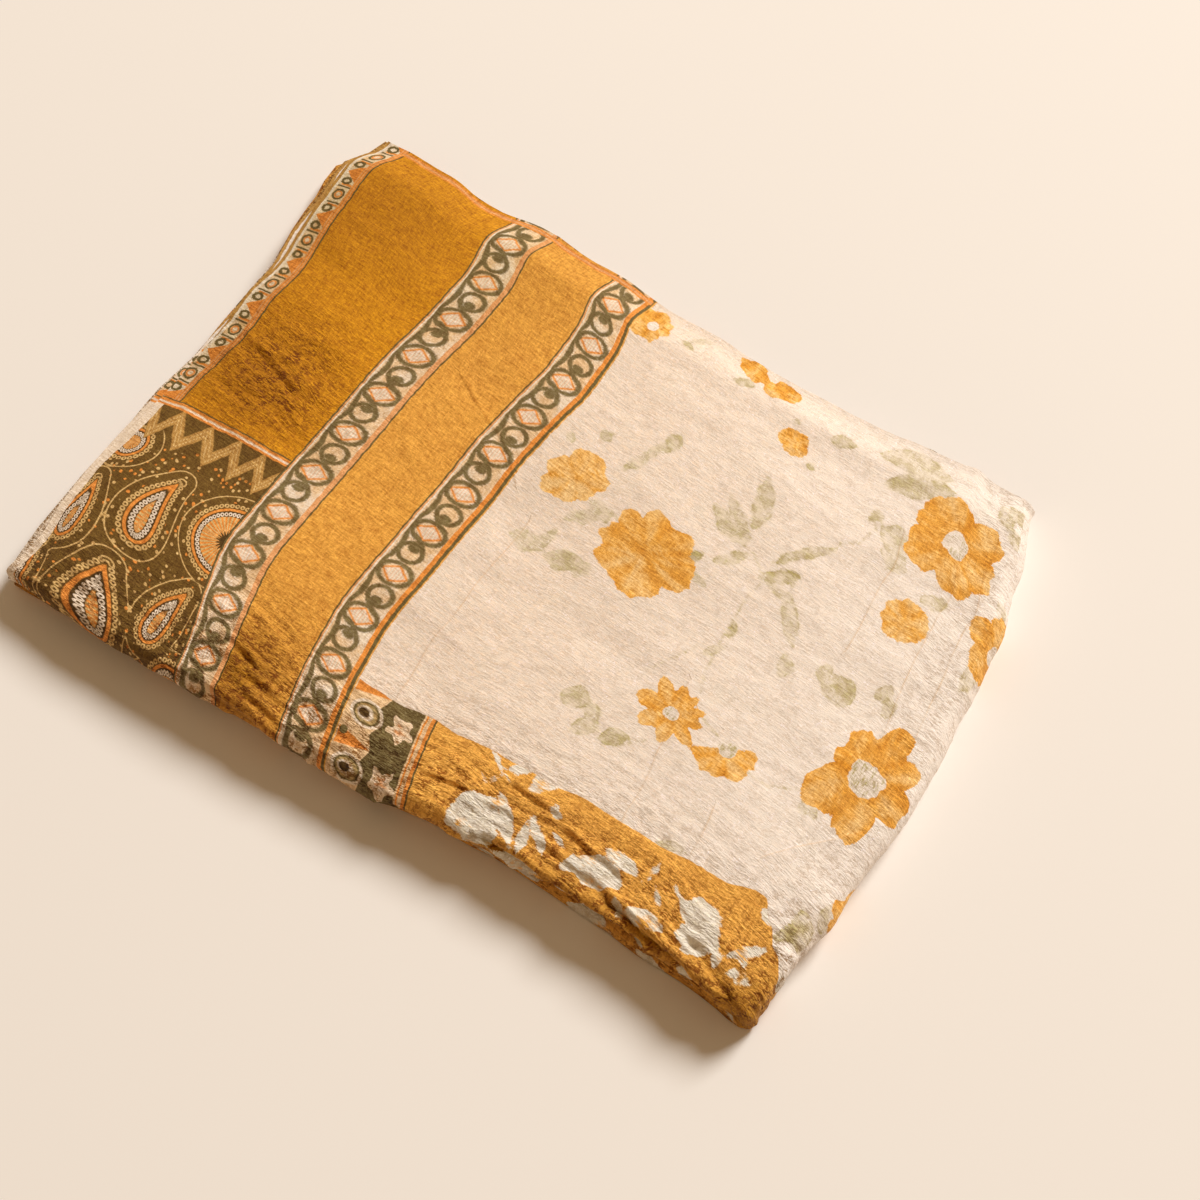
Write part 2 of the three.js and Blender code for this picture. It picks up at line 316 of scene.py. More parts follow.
RIPPLES = [  # height on smooth and on crushed cloth, length, width, seed, sharpness
    (0.2, 1.6, 50, 12.6, 26, 3), (-0.15, -1.3, 41, 10.3, 27, 3), (0.18, 0.75, 20, 6.3, 28, 3),
    (-0.1, -0.8, 15, 5.4, 31, 4), (0.09, 0.34, 8, 3.4, 32, 3),
]
SLANTED = [  # height on smooth and on crushed cloth, slants of the two axes, length, width, seed, sharpness
    (0.0, -0.5, 0.8, 0.35, 13, 7, 42, 4), (0.34, 0.0, 0.5, 0.4, 19, 15, 33, 5),
]


def line_distance(u, v, line):
    """Signed distance from a broken line."""
    best = np.full(u.shape, 1e3)
    for (a, b), (c, d) in zip(line, line[1:]):
        long = math.hypot(c - a, d - b)
        p = ((u - a) * (c - a) + (v - b) * (d - b)) / long
        q = ((v - b) * (c - a) - (u - a) * (d - b)) / long
        past = np.maximum(np.maximum(-p, p - long), 0)
        here = np.where(q < 0, -1, 1) * np.hypot(q, past)
        best = np.where(np.abs(here) < np.abs(best), here, best)
    return best


def crease_place(u, v):
    """Signed distance from the nearest pressed line."""
    best = np.full(u.shape, 60.0)
    x, y = u + 1.6 * noise(v / 17, 0.5, 29), v + 1.6 * noise(u / 17, 0.5, 30)
    for line in CREASES:
        d = line_distance(x, y, line)
        best = np.where(np.abs(d) < np.abs(best), d, best)
    return best


def crush_depth(u, v):
    """How strongly the cloth is crinkled: most along the front and in a patch by its end."""
    front = hill(np.maximum(v - CRUSH_FRONT[0], 0), CRUSH_FRONT[1])
    front = front * (1 + smooth((u - CRUSH_GROWS[0]) / CRUSH_GROWS[1])) / 2
    return np.clip(front + patches(u, v, CRUSHED), 0, MOST_CRUSH)


def relief(u, v):
    """Height of the cloth's crinkles over its smooth surface."""
    crush = crush_depth(u, v)
    s = v + 0.1 * u + sum(size * noise(u / long, v / wide, seed) for size, long, wide, seed in SWAY)
    size, long, wide, seed = HOLLOWS
    height = size * noise(u / long, v / wide, seed)
    size, long, wide, seed = FOLLOWING
    height = height + size * noise(u / long, s / wide, seed)
    for plain, crushed, long, wide, seed, sharp in RIPPLES:
        height = height + (plain + crushed * crush) * ridges(u / long, s / wide, seed, sharp)
    for plain, crushed, skew, lean, long, wide, seed, sharp in SLANTED:
        along, across = (u + skew * v) / long, (v - lean * u) / wide
        height = height + (plain + crushed * crush) * ridges(along, across, seed, sharp)
    d = crease_place(u, v)
    size, place, wide = PRESSED
    height = height + size * (hill(d - place, wide) - hill(d + place, wide))
    for line, depth, wide in PLEATS:
        here = line_distance(u, v + 1.5 * noise(u / 13, 0.5, 34), line)
        beside = hill(here - PLEAT_RISE[1] * wide, wide)
        height = height + depth * (PLEAT_RISE[0] * beside - hill(here, wide))
    return height


# ---- the print's place on the cloth
PULL_1 = np.array([  # v, how far the first border is pulled away from the cloth's end
    (-45, 40), (0, 37), (22, 30), (60, 16), (98, 4), (138, 0), (177, -0.5), (255, 1.5), (296, 5.5),
    (331, 13), (369, 20), (411, 19.5), (445, 18),
])
PULL_2 = np.array([  # the same for the second border
    (-45, 32), (0, 27), (27, 18), (64, 9), (103, 2), (142, 0), (181, 0.5), (221, 1.5), (260, 4),
    (300, 9.5), (337, 18), (378, 23.5), (421, 22), (445, 22),
])
BORDER_1 = 136.0
BORDER_2 = 233.0
END_LINE = 19.5
MIRROR = -45.0
MIDDLE_BAND = 1196.0
BLOCK_EDGE = (166.0, 0.08)
BLOCK_END = 184.0
BAND_EDGE = np.array([  # u, top edge of the front blocks past the second border
    (253, 64.5), (300, 64.5), (321, 66.5), (345, 62), (500, 60.5), (545, 65), (578, 73), (590, 62),
    (604, 48), (622, 30), (650, 36), (700, 62),
])


def print_place(u, v):
    """Place on the printed design: how far from the nearest end, with the cloth's pull taken off."""
    p = np.minimum(u, CLOTH_LENGTH - u)
    between = smooth((p - BORDER_1) / (BORDER_2 - BORDER_1))
    pull = lerp(curve(PULL_1, v), curve(PULL_2, v), between)
    pull = pull * smooth((p - END_LINE) / 90) * (1 - smooth((p - 350) / 60))
    end = -7.0 * (1 - smooth((v - 174) / 90)) * (1 - smooth((p - END_LINE) / 60))
    return p - pull - end


def edge_place(p, u, v):
    """Distance over the top edge of the dense blocks along the fold."""
    place = np.minimum(u, CLOTH_LENGTH - u)
    step = 1.2 * noise(place / 21, 0.5, 35)
    block = BLOCK_EDGE[0] + BLOCK_EDGE[1] * p
    return v - np.where(p < BLOCK_END, block, read(BAND_EDGE, place) + step)


# ---- motifs of the print, as distances inside (above 0) and outside (below 0) of their outlines
def blossom(u, v, at_u, at_v, radius, petals, depth, squash=1.0, turn=0.0, seed=0):
    """Distance inside a blossom's outline, and the tone of its petals around 0."""
    c, s = math.cos(math.radians(turn)), math.sin(math.radians(turn))
    x = (u - at_u) * c + (v - at_v) * s
    y = ((v - at_v) * c - (u - at_u) * s) / squash
    r = np.maximum(np.hypot(x, y), 0.01)
    angle = np.arctan2(y, x)
    lobe = np.abs(np.sin(petals * (angle + 0.35 * np.sin(angle + 2 * seed)) / 2 + seed)) ** 0.6
    size = 1 + 0.2 * noise(1.5 * x / r + 9 + 3 * seed, 1.5 * y / r + 9, 71)
    frill = 0.08 * noise(5 * x / r + 40 + seed, 5 * y / r + 40, 72)
    frill = frill + 0.05 * noise(11 * x / r + 80, 11 * y / r, 73)
    inside = radius * ((1 - depth + depth * lobe) * size + frill) - r
    streak = noise(9 * x / r + 20 + seed, 9 * y / r + 20, 74) * smooth(r / (0.5 * radius))
    tone = 0.5 * streak + 0.7 * (lobe - 0.6) + 0.5 * noise(x / 9 + seed, y / 9, 75)
    return inside, tone


def leaf(u, v, u0, v0, u1, v1, half):
    """Distance inside a pointed leaf's outline."""
    long = math.hypot(u1 - u0, v1 - v0)
    p = ((u - u0) * (u1 - u0) + (v - v0) * (v1 - v0)) / long
    q = ((v - v0) * (u1 - u0) - (u - u0) * (v1 - v0)) / long
    belly = half * np.sin(math.pi * np.clip(p / long, 0, 1)) ** 0.8
    q = q - 0.12 * half * np.sin(math.pi * p / long)
    return np.where((p > 0) & (p < long), belly - np.abs(q), -np.hypot(np.maximum(-p, p - long), q))


BLOSSOMS = [  # u, v, radius, petals, depth, squash, turn, radius of the pale middle, tone
    (290, 424, 17, 6, 0.2, 1.0, 10, 5.0, -0.1), (376, 437, 16, 5, 0.25, 0.62, -14, 0, -0.2),
    (404, 431, 16, 4, 0.28, 0.62, 8, 0, -0.2), (429, 394, 12, 5, 0.08, 0.9, 0, 0, 0.1),
    (299, 279, 26, 6, 0.22, 0.8, 20, 0, 0.45), (371, 251, 37, 7, 0.24, 0.93, -10, 0, 0.05),
    (450, 150, 25, 9, 0.55, 0.95, 5, 5.5, 0.1), (568, 378, 39, 5, 0.24, 0.96, 35, 10.5, -0.05),
    (554, 301, 18, 6, 0.1, 1.0, 12, 0, 0.4), (624, 322, 27, 5, 0.2, 1.0, 60, 7, 0.1),
    (583, 185, 47, 6, 0.3, 0.7, 78, 13, -0.1), (640, 100, 24, 6, 0.2, 1.0, 0, 6, 0.0),
]
HALF_BLOSSOM = (497, 144, 24, 8, 0.14, 0.8, 0)  # u, v, radius, petals, depth, squash, turn
LEAVES = [  # from u, v to u, v, half width, strength
    (431, 293, 394, 315, 5.2, 0.6), (432, 295, 403, 330, 4.6, 0.5), (429, 311, 424, 358, 5.4, 0.6),
    (428, 309, 434, 333, 4.4, 0.5), (449, 276, 476, 296, 5.0, 1.0), (450, 292, 491, 332, 3.2, 0.7),
    (416, 270, 435, 290, 3.8, 0.7), (454, 276, 480, 273, 3.2, 0.4), (473, 279, 493, 240, 5.2, 0.6),
    (492, 235, 501, 215, 3.6, 0.5), (449, 239, 454, 223, 2.4, 0.8), (308, 219, 278, 217, 6.2, 0.4),
    (337, 221, 310, 214, 6.8, 0.8), (338, 208, 341, 224, 4.6, 0.7), (334, 268, 304, 245, 4.2, 0.4),
    (308, 238, 294, 206, 4.2, 0.4), (306, 318, 298, 324, 3.8, 0.6), (324, 300, 337, 322, 3.8, 0.6),
    (330, 318, 355, 347, 3.8, 0.6), (339, 333, 353, 352, 2.4, 0.6), (282, 303, 273, 307, 3.6, 0.4),
    (381, 125, 404, 128, 7.4, 0.7), (402, 128, 417, 114, 4.8, 0.5), (424, 107, 440, 117, 6.4, 1.0),
    (404, 102, 419, 118, 5.6, 0.6), (547, 226, 530, 240, 8.0, 0.8), (546, 221, 521, 232, 5.2, 0.4),
    (522, 227, 523, 244, 4.0, 0.4), (561, 236, 569, 252, 4.4, 0.6), (569, 228, 576, 245, 4.0, 0.5),
    (556, 143, 573, 138, 4.6, 0.4), (558, 154, 579, 159, 4.6, 0.4), (494, 422, 553, 427, 9.5, 0.5),
    (503, 398, 548, 412, 7.0, 0.9), (515, 417, 540, 416, 3.4, 0.5), (536, 413, 558, 415, 4.6, 0.7),
    (502, 364, 513, 372, 3.2, 0.9), (514, 362, 536, 352, 9.0, 0.4), (518, 344, 540, 338, 8.0, 0.3),
    (595, 430, 604, 411, 5.2, 0.5), (602, 433, 615, 421, 4.2, 0.8), (604, 415, 612, 400, 5.0, 0.6),
    (556, 327, 570, 324, 4.0, 0.5), (567, 318, 574, 336, 3.6, 0.4), (367, 417, 387, 423, 3.8, 0.8),
    (321, 427, 336, 437, 2.4, 0.8), (316, 424, 329, 421, 2.4, 0.8), (455, 413, 477, 418, 4.6, 0.7),
    (444, 383, 454, 381, 2.4, 0.8), (421, 410, 430, 411, 2.4, 0.5), (444, 198, 455, 216, 3.2, 0.4),
    (399, 261, 408, 275, 3.2, 1.0), (404, 257, 420, 250, 3.2, 0.6), (323, 271, 335, 257, 3.2, 0.6),
    (315, 270, 330, 259, 3.2, 0.5), (614, 312, 608, 277, 5.4, 0.5), (610, 355, 622, 345, 5.4, 0.5),
    (613, 322, 617, 340, 5.0, 0.4), (588, 196, 589, 178, 3.6, 1.0), (600, 82, 618, 56, 6.5, 0.7),
    (606, 74, 599, 52, 4.0, 1.0), (612, 96, 622, 78, 5.0, 0.5), (520, 66, 498, 60, 4.5, 0.4),
]
STEMS = [
    [(435, 294), (454, 277), (449, 251), (452, 191), (458, 174)], [(473, 286), (476, 270)],
    [(489, 334), (502, 342), (513, 366)], [(497, 140), (533, 139), (569, 161)],
    [(449, 122), (440, 110)], [(442, 164), (430, 157)], [(419, 172), (440, 208)],
    [(347, 262), (333, 268), (328, 258)], [(386, 256), (404, 262)], [(470, 158), (486, 152)],
]
CLUSTERS = [  # white blossoms on the gold band: u, v, radius, petals, depth, squash, turn
    (389, 17, 19, 6, 0.14, 0.86, 0), (398, 8, 13, 5, 0.2, 0.8, 20), (414, 58, 8.5, 3, 0.2, 0.9, 40),
    (470, 20, 15, 5, 0.2, 0.6, 38), (484, 20, 15, 5, 0.22, 0.7, 10), (524, 11, 15, 5, 0.2, 0.45, 8),
    (551, 38, 14, 5, 0.2, 0.8, 20), (560, 24, 15, 6, 0.18, 0.86, 0), (589, 64, 7, 4, 0.3, 0.9, 0),
    (487, -8, 15, 5, 0.25, 0.5, 10), (536, -14, 15, 5, 0.25, 0.6, 0), (446, -24, 16, 5, 0.2, 0.7, 0),
    (352, -30, 15, 5, 0.2, 0.7, 12), (594, -16, 14, 5, 0.2, 0.7, 0),
]
CLUSTER_LEAVES = [  # white leaves and sprigs on the gold band
    (391, 41, 421, 6, 5.2), (419, 30, 429, 5, 3.8), (417, 36, 444, 11, 4.4), (424, 46, 438, 41, 1.8),
    (428, 50, 436, 38, 1.5), (372, 45, 381, 39, 1.2), (381, 39, 386, 51, 1.1), (385, 52, 397, 48, 1.3),
    (372, 62, 384, 54, 1.0), (386, 55, 403, 65, 4.2), (357, -5, 379, -11, 3.2), (410, -1, 450, -9, 3.8),
    (400, -8, 418, -14, 2.6), (473, 39, 502, 33, 6.0), (508, 50, 511, 37, 1.1), (511, 38, 502, 25, 1.1),
    (525, 44, 546, 29, 1.3), (516, 34, 528, 24, 1.6), (574, 25, 580, 12, 3.2), (580, 24, 599, 46, 3.4),
    (586, 36, 596, 24, 2.4), (588, 16, 597, 22, 2.6), (596, 14, 607, 22, 3.2), (583, 70, 594, 60, 3.4),
    (500, 12, 512, 2, 2.6), (462, 0, 480, -12, 3.4), (560, -4, 588, -12, 3.4), (436, 30, 452, 24, 1.6),
]
DROPS = [  # paisleys: u, v, half length, half width, turn, bend
    (58, 92, 27, 13, -4, 9), (22, 66, 25, 12, 10, -8), (92, 34, 25, 13, 16, 9), (50, 18, 24, 12, -14, 8),
    (14, 4, 24, 12, 8, -8), (80, -28, 26, 12, 20, 8), (34, -40, 24, 12, -8, 8),
]
ROUNDS = [  # round flowers of the paisley block: u, v, radius
    (119, 101, 27), (17, 127, 13), (112, -12, 17), (2, 32, 10),
]
BORDER_REPEAT = 39.2
STARS = (298.0, 7.8, 11.5, BORDER_REPEAT)  # place along, first across, radius, repeat
PAISLEY_PART = (150, 172)  # up to which p and v
STAR_PART = (240, 318, 80)  # p from and to, up to which v
BAND_TOP = 110
FIELD_REPEAT = (268, 640)  # the stretch of the design that comes again up to the cloth's middle
BAND_REPEAT = (345, 630)
STEM_HALF = 0.8
LEAF_SPREAD = 1.35


def field_motifs(u, v):
    """The cream field's flowers: gold, pale middle, leaf, the leaf's strength and the petals' tone."""
    p = np.minimum(u, CLOTH_LENGTH - u)
    start, stop = FIELD_REPEAT
    p = np.where(p > stop, start + (p - start) % (stop - start), p)
    gold, middle, green = (np.full(u.shape, -50.0) for _ in range(3))
    tone, strong = np.zeros(u.shape), np.zeros(u.shape)
    every = BLOSSOMS + [(*HALF_BLOSSOM, 0, 0.25)]
    for k, (a, b, radius, petals, depth, squash, turn, pale, shade) in enumerate(every):
        inside, petal = blossom(p, v, a, b, radius, petals, depth, squash, turn, k)
        if k == len(BLOSSOMS):
            inside = np.minimum(inside, 3 - (0.87 * (v - b) - 0.5 * (p - a)))
            middle = np.maximum(middle, blossom(p, v, a - 1, b + 3, 7.0, 5, 0.1, 0.9, 0, 3)[0])
        tone = np.where(inside > gold, petal + shade, tone)
        gold = np.maximum(gold, inside)
        if pale:
            middle = np.maximum(middle, blossom(p, v, a + 1, b - 1, pale, 5, 0.1, 1.0, 20, k)[0])
    for u0, v0, u1, v1, wide, strength in LEAVES:
        a, b = p + 1.8 * noise(v / 8, p / 9, 36), v + 1.6 * noise(p / 7, v / 8, 37)
        inside = leaf(a, b, u0, v0, u1, v1, LEAF_SPREAD * wide)
        strong = np.where(inside > green, strength, strong)
        green = np.maximum(green, inside)
    for line in STEMS:
        inside = STEM_HALF - np.abs(line_distance(p + noise(v / 14, 3, 33), v, line))
        strong = np.where(inside > green, 0.55, strong)
        green = np.maximum(green, inside)
    return gold, middle, green, strong * (0.9 + 0.5 * noise(p / 8, v / 8, 34)), tone


def drop_outline(at_u, at_v, long, wide, turn, bend):
    t = np.linspace(0, 2 * math.pi, 49)[:-1]
    x = wide * np.sin(t) * np.sin(t / 2) ** 1.1
    y = long * np.cos(t)
    x = x + bend * ((y + long) / (2 * long)) ** 3
    c, s = math.cos(math.radians(turn)), math.sin(math.radians(turn))
    return np.stack([at_u + x * c + y * s, at_v + y * c - x * s], 1)


def outline_place(u, v, outline):
    """Distance inside a closed outline, and the place along it of the nearest point."""
    step = np.roll(outline, -1, 0) - outline
    long = np.hypot(step[:, 0], step[:, 1])
    before = np.concatenate([[0], np.cumsum(long)[:-1]])
    best, place = np.full(u.shape, 1e6), np.zeros(u.shape)
    inside = np.zeros(u.shape, bool)
    for (a, b), (c, d), size, start in zip(outline, step, long, before):
        t = np.clip(((u - a) * c + (v - b) * d) / size ** 2, 0, 1)
        away = np.hypot(u - a - t * c, v - b - t * d)
        place = np.where(away < best, start + t * size, place)
        best = np.minimum(best, away)
        inside ^= ((b > v) != (b + d > v)) & (u < a + (v - b) * c / (d or 1e-9))
    return np.where(inside, best, -best), place


def nearest(d, s, here, place):
    return np.maximum(d, here), np.where(here > d, place, s)


def block_motifs(p, u, v):
    """The dense blocks' motifs: distance inside the nearest outline and the place along it."""
    d, s = np.full(p.shape, -40.0), np.zeros(p.shape)
    dense = (p < PAISLEY_PART[0]) & (v < PAISLEY_PART[1])
    q, w = p[dense], v[dense]
    best, along = np.full(q.shape, -40.0), np.zeros(q.shape)
    for row in DROPS:
        best, along = nearest(best, along, *outline_place(q, w, drop_outline(*row)))
    for a, b, radius in ROUNDS:
        here = radius - np.hypot(q - a, w - b)
        best, along = nearest(best, along, here, np.arctan2(w - b, q - a) * radius + 200)
    d[dense], s[dense] = best, along
    stars = (p > STAR_PART[0]) & (p < STAR_PART[1]) & (v < STAR_PART[2])
    q, w = p[stars], v[stars]
    across, first, radius, repeat = STARS
    x, y = q - across, (w - first + repeat / 2) % repeat - repeat / 2
    point_out = 1 - np.abs(np.sin(2.5 * np.arctan2(y, x) + 0.6))
    d[stars] = radius * (0.56 + 0.46 * point_out + 0.2 * noise(w / 3, q / 3, 41)) - np.hypot(x, y)
    band = (p >= STAR_PART[1]) & (v < BAND_TOP)
    q = np.minimum(u, CLOTH_LENGTH - u)[band]
    start, stop = BAND_REPEAT
    q = np.where(q > stop, start + (q - start) % (stop - start), q)
    w = v[band]
    best = np.full(q.shape, -40.0)
    for k, (a, b, radius, petals, depth, squash, turn) in enumerate(CLUSTERS):
        best = np.maximum(best, blossom(q, w, a, b, radius, petals, depth, squash, turn, k)[0])
    for u0, v0, u1, v1, wide in CLUSTER_LEAVES:
        best = np.maximum(best, leaf(q, w + 0.8 * noise(q / 5, w / 7, 37), u0, v0, u1, v1, wide))
    d[band] = best + 1.3 * noise(q / 3.4, w / 3.4, 38) + 1.2 * noise(q / 8, w / 6, 39)
    return d, s


DYE_AND_SHADE = [  # broad darker areas, partly uneven dye and partly painted shade, most of all along the front roll: u, v, reach along and across, strength
    (52, 216, 56, 56, 0.62), (66, 388, 76, 62, 0.56), (20, 320, 30, 90, 0.3), (190, 26, 38, 40, 0.85),
    (500, -6, 190, 15, 0.6), (200, 400, 50, 60, 0.26), (622, 6, 30, 26, 0.7),
]
# painted shade in the pleats' valleys, per millimetre of a pleat's depth
PLEAT_SHADE = 0.16
HIDDEN = (60, -30, 0.4, 0.5)  # past the bend, below the fold: the shares of the relief left there


# How dark the cloth is painted: uneven dye and painted shade on the front roll, with painted shade in the
# pleats' valleys.
def dye_and_shade_depth(u, v):
    total = patches(u, v, DYE_AND_SHADE)
    for line, depth, wide in PLEATS:
        # painted shade along each pleat
        total = total + PLEAT_SHADE * depth * hill(line_distance(u, v, line), 0.7 * wide)
    return total


def cloth_mesh():
    points, u, v = folded_grid()
    outward = normals(points)
    past, below, inner_share, lower_share = HIDDEN
    shown = np.where(u < BEND_X + past, 1.0, inner_share) * np.where(v < below, lower_share, 1.0)
    points = points + outward * (relief(u, v) * shown)[..., None]
    points[..., 2] = np.maximum(points[..., 2], LOWEST)
    points = (points - np.array([MIDDLE[0], MIDDLE[1], 0.0])) * MM
    rows, columns = u.shape
    index = np.arange(rows * columns).reshape(rows, columns)
    faces = np.stack([index[:-1, :-1], index[:-1, 1:], index[1:, 1:], index[1:, :-1]], -1).reshape(-1, 4)
    mesh = bpy.data.meshes.new("printed_cloth")
    mesh.vertices.add(rows * columns)
    mesh.vertices.foreach_set("co", points.reshape(-1).astype(np.float32))
    mesh.loops.add(faces.size)
    mesh.loops.foreach_set("vertex_index", faces.reshape(-1).astype(np.int32))
    mesh.polygons.add(len(faces))
    mesh.polygons.foreach_set("loop_start", np.arange(0, faces.size, 4, dtype=np.int32))
    mesh.update(calc_edges=True)
    mesh.validate()
    mesh.polygons.foreach_set("use_smooth", np.ones(len(faces), bool))
    across = np.where(v < MIRROR, 2 * MIRROR - v, v)
    p = print_place(u, across)
    gold, middle, green, strong, petal = field_motifs(u, across)
    d, s = block_motifs(p, u, across)
    crease = crease_place(u, v)
    for name, values in {
        "cloth_place": (p, across, edge_place(p, u, across)),
        "field": (gold, middle, green),
        "tones": (petal, strong, dye_and_shade_depth(u, v)),
        "block": (d, s, 0 * u),
        "crease": (np.clip(crease, -20, 20), hill(crease, 7), crush_depth(u, v)),
        "course": (u, v, 0 * u),
    }.items():
        attribute = mesh.attributes.new(name, "FLOAT_VECTOR", "POINT")
        attribute.data.foreach_set("vector", np.stack(values, -1).reshape(-1).astype(np.float32))
    uv = mesh.uv_layers.new(name="ClothPlane")
    flat = np.stack([u / CLOTH_LENGTH, (v + WIDTH) / (2 * WIDTH)], -1).reshape(-1, 2)
    uv.data.foreach_set("uv", flat[faces.reshape(-1)].reshape(-1).astype(np.float32))
    return mesh


# ---- node arithmetic
class Term:
    """A socket's value, with arithmetic that adds nodes to its tree."""

    tree = None

    def __init__(self, socket):
        self.socket = socket


for name, operation in [
    ("add", "ADD"), ("radd", "ADD"), ("sub", "SUBTRACT"), ("mul", "MULTIPLY"), ("rmul", "MULTIPLY"),
    ("truediv", "DIVIDE"),
]:
    setattr(Term, f"__{name}__", lambda a, b, operation=operation: calc(operation, a, b))
Term.__rsub__ = lambda a, b: calc("SUBTRACT", b, a)
Term.__abs__ = lambda a: calc("ABSOLUTE", a)


def node(kind, **settings):
    made = Term.tree.nodes.new(kind)
    for name, value in settings.items():
        setattr(made, name, value)
    return made


def feed(socket, value):
    if isinstance(value, Term):
        Term.tree.links.new(value.socket, socket)
    elif isinstance(value, tuple) and len(value) == 3 and socket.type == "RGBA":
        socket.default_value = (*value, 1.0)
    else:
        socket.default_value = value


def calc(operation, *values):
    made = node("ShaderNodeMath", operation=operation)
    for socket, value in zip(made.inputs, values):
        feed(socket, value)
    return Term(made.outputs[0])


def over(value, edge, soft):
    """0 below the edge and 1 over it."""
    made = node("ShaderNodeMapRange")
    feed(made.inputs[0], value)
    made.inputs[1].default_value = edge - soft
    made.inputs[2].default_value = edge + soft
    return Term(made.outputs[0])


def under(value, edge, soft):
    """1 below the edge and 0 over it."""
    made = over(value, edge, soft).socket.node
    made.inputs[3].default_value, made.inputs[4].default_value = 1.0, 0.0
    return Term(made.outputs[0])


def within(value, stretch, soft=0.2):
    """1 between a stretch's two ends and 0 outside them."""
    return both(over(value, stretch[0], soft), under(value, stretch[1], soft))


def near(value, place, reach, soft):
    """1 up to a reach on both sides of a place and 0 farther away."""
    return under(abs(value - place), reach, soft)


def mix(a, b, share):
    made = node("ShaderNodeMix", data_type="RGBA")
    feed(made.inputs[0], share)
    feed(made.inputs[6], a)
    feed(made.inputs[7], b)
    return Term(made.outputs[2])


def shaded(colour, value):
    """A colour times another."""
    made = mix(colour, value, 1.0)
    made.socket.node.blend_type = "MULTIPLY"
    return made


def tinted(colour, tint, share):
    """A colour times a share of a tint."""
    return shaded(colour, mix((1.0, 1.0, 1.0), tint, share))


def channels(colour):
    split = node("ShaderNodeSeparateColor")
    feed(split.inputs[0], colour)
    return tuple(Term(s) for s in split.outputs)


def both(first, *others):
    for other in others:
        first = calc("MULTIPLY", first, other)
    return first


def least(first, *others):
    for other in others:
        first = calc("MINIMUM", first, other)
    return first


def length(x, y):
    return calc("SQRT", calc("MULTIPLY_ADD", x, x, y * y))


def repeat(value, size):
    """Place in a repeat of a size, from minus to plus half of it."""
    return (calc("FRACT", value / size + 0.5) - 0.5) * size


def point(x, y):
    made = node("ShaderNodeCombineXYZ")
    feed(made.inputs[0], x)
    feed(made.inputs[1], y)
    return Term(made.outputs[0])


def cloud(at, scale, detail=2.0, rough=0.5, colour=False):
    made = node("ShaderNodeTexNoise")
    feed(made.inputs["Vector"], at)
    made.inputs["Scale"].default_value = scale
    made.inputs["Detail"].default_value = detail
    made.inputs["Roughness"].default_value = rough
    return Term(made.outputs["Color" if colour else "Fac"])


def parts(name):
    found = node("ShaderNodeAttribute", attribute_name=name)
    split = node("ShaderNodeSeparateXYZ")
    Term.tree.links.new(found.outputs["Vector"], split.inputs[0])
    return tuple(Term(s) for s in split.outputs)


def linear(r, g, b):
    """A screen colour of 0 to 255 as the shader's linear one."""
    shares = (c / 255 for c in (r, g, b))
    return tuple(c / 12.92 if c <= 0.04045 else ((c + 0.055) / 1.055) ** 2.4 for c in shares)


def stripes(value, low, high, rows):
    """Colours by a place between low and high: rows of (from, colour)."""
    made = node("ShaderNodeValToRGB")
    ramp = made.color_ramp
    ramp.interpolation = "CONSTANT"
    while len(ramp.elements) < len(rows):
        ramp.elements.new(0.5)
    places = [(at - low) / (high - low) for at, _ in rows]
    for k, (element, place) in enumerate(zip(ramp.elements, places)):
        element.position = 0.0 if k == 0 else place
    for element, (_, colour) in zip(ramp.elements, rows):
        element.color = (*colour, 1.0)
    feed(made.inputs[0], (value - low) / (high - low))
    return Term(made.outputs[0])


# ---- the print's colours
CREAM = linear(250, 236, 222)
PEACH = linear(246, 214, 182)
GOLD = linear(238, 170, 72)
GOLD_FIRST = linear(222, 149, 22)
# painted light: the front band's gold, lighter than GOLD to make up for the shade on the front roll
LIT_FRONT_GOLD = linear(248, 182, 84)
PETAL = linear(246, 182, 84)
PETAL_PALE = linear(250, 206, 138)
PETAL_DEEP = linear(226, 150, 44)
SAND = linear(242, 204, 156)
INK = linear(120, 102, 58)
OLIVE = linear(140, 122, 80)
ORANGE = linear(240, 152, 66)
PINK = linear(240, 172, 112)
WHITE = linear(248, 228, 204)
EARTH = linear(92, 66, 26)
UMBER = linear(136, 100, 40)
BEIGE = linear(228, 188, 122)
TAN = linear(198, 150, 80)
BLUSH = linear(255, 247, 240)
LEAF = linear(222, 206, 174)
LEAF_DEEP = linear(186, 168, 112)
SHELL = linear(255, 247, 234)
ASH = linear(236, 222, 196)

LINES_TO = 330
LINE_ROWS = [  # place where each stripe starts, its colour
    (0, TAN), (1.4, CREAM), (5, SAND), (15.6, PINK), (17.0, ORANGE), (18.4, PINK), (20.0, ORANGE),
    (21.8, INK), (22.9, GOLD_FIRST),
]
BORDERS = [
    (116.8, INK), (117.9, PINK), (119.8, WHITE), (121.6, SAND), (150.6, PINK), (153.4, INK),
    (154.8, GOLD), (213.2, INK), (214.1, PINK), (216.0, WHITE), (217.8, SAND), (247.2, ORANGE),
    (250.3, INK), (252.0, TAN), (252.6, INK), (253.5, GOLD), (254.7, CREAM),
]
LOW_ROWS = [(0, WHITE), (13.5, EARTH)]
LOW_END = [
    (254.7, SAND), (309.4, ORANGE), (311.0, SAND), (314.4, ORANGE), (316.4, INK), (317.3, LIT_FRONT_GOLD),
]
MOTIF_LINE = (4.8, 16.8)  # stretches of the design: from, to
PAISLEYS = (13.5, 116.8)
RAIL = (5.0, 116.9)
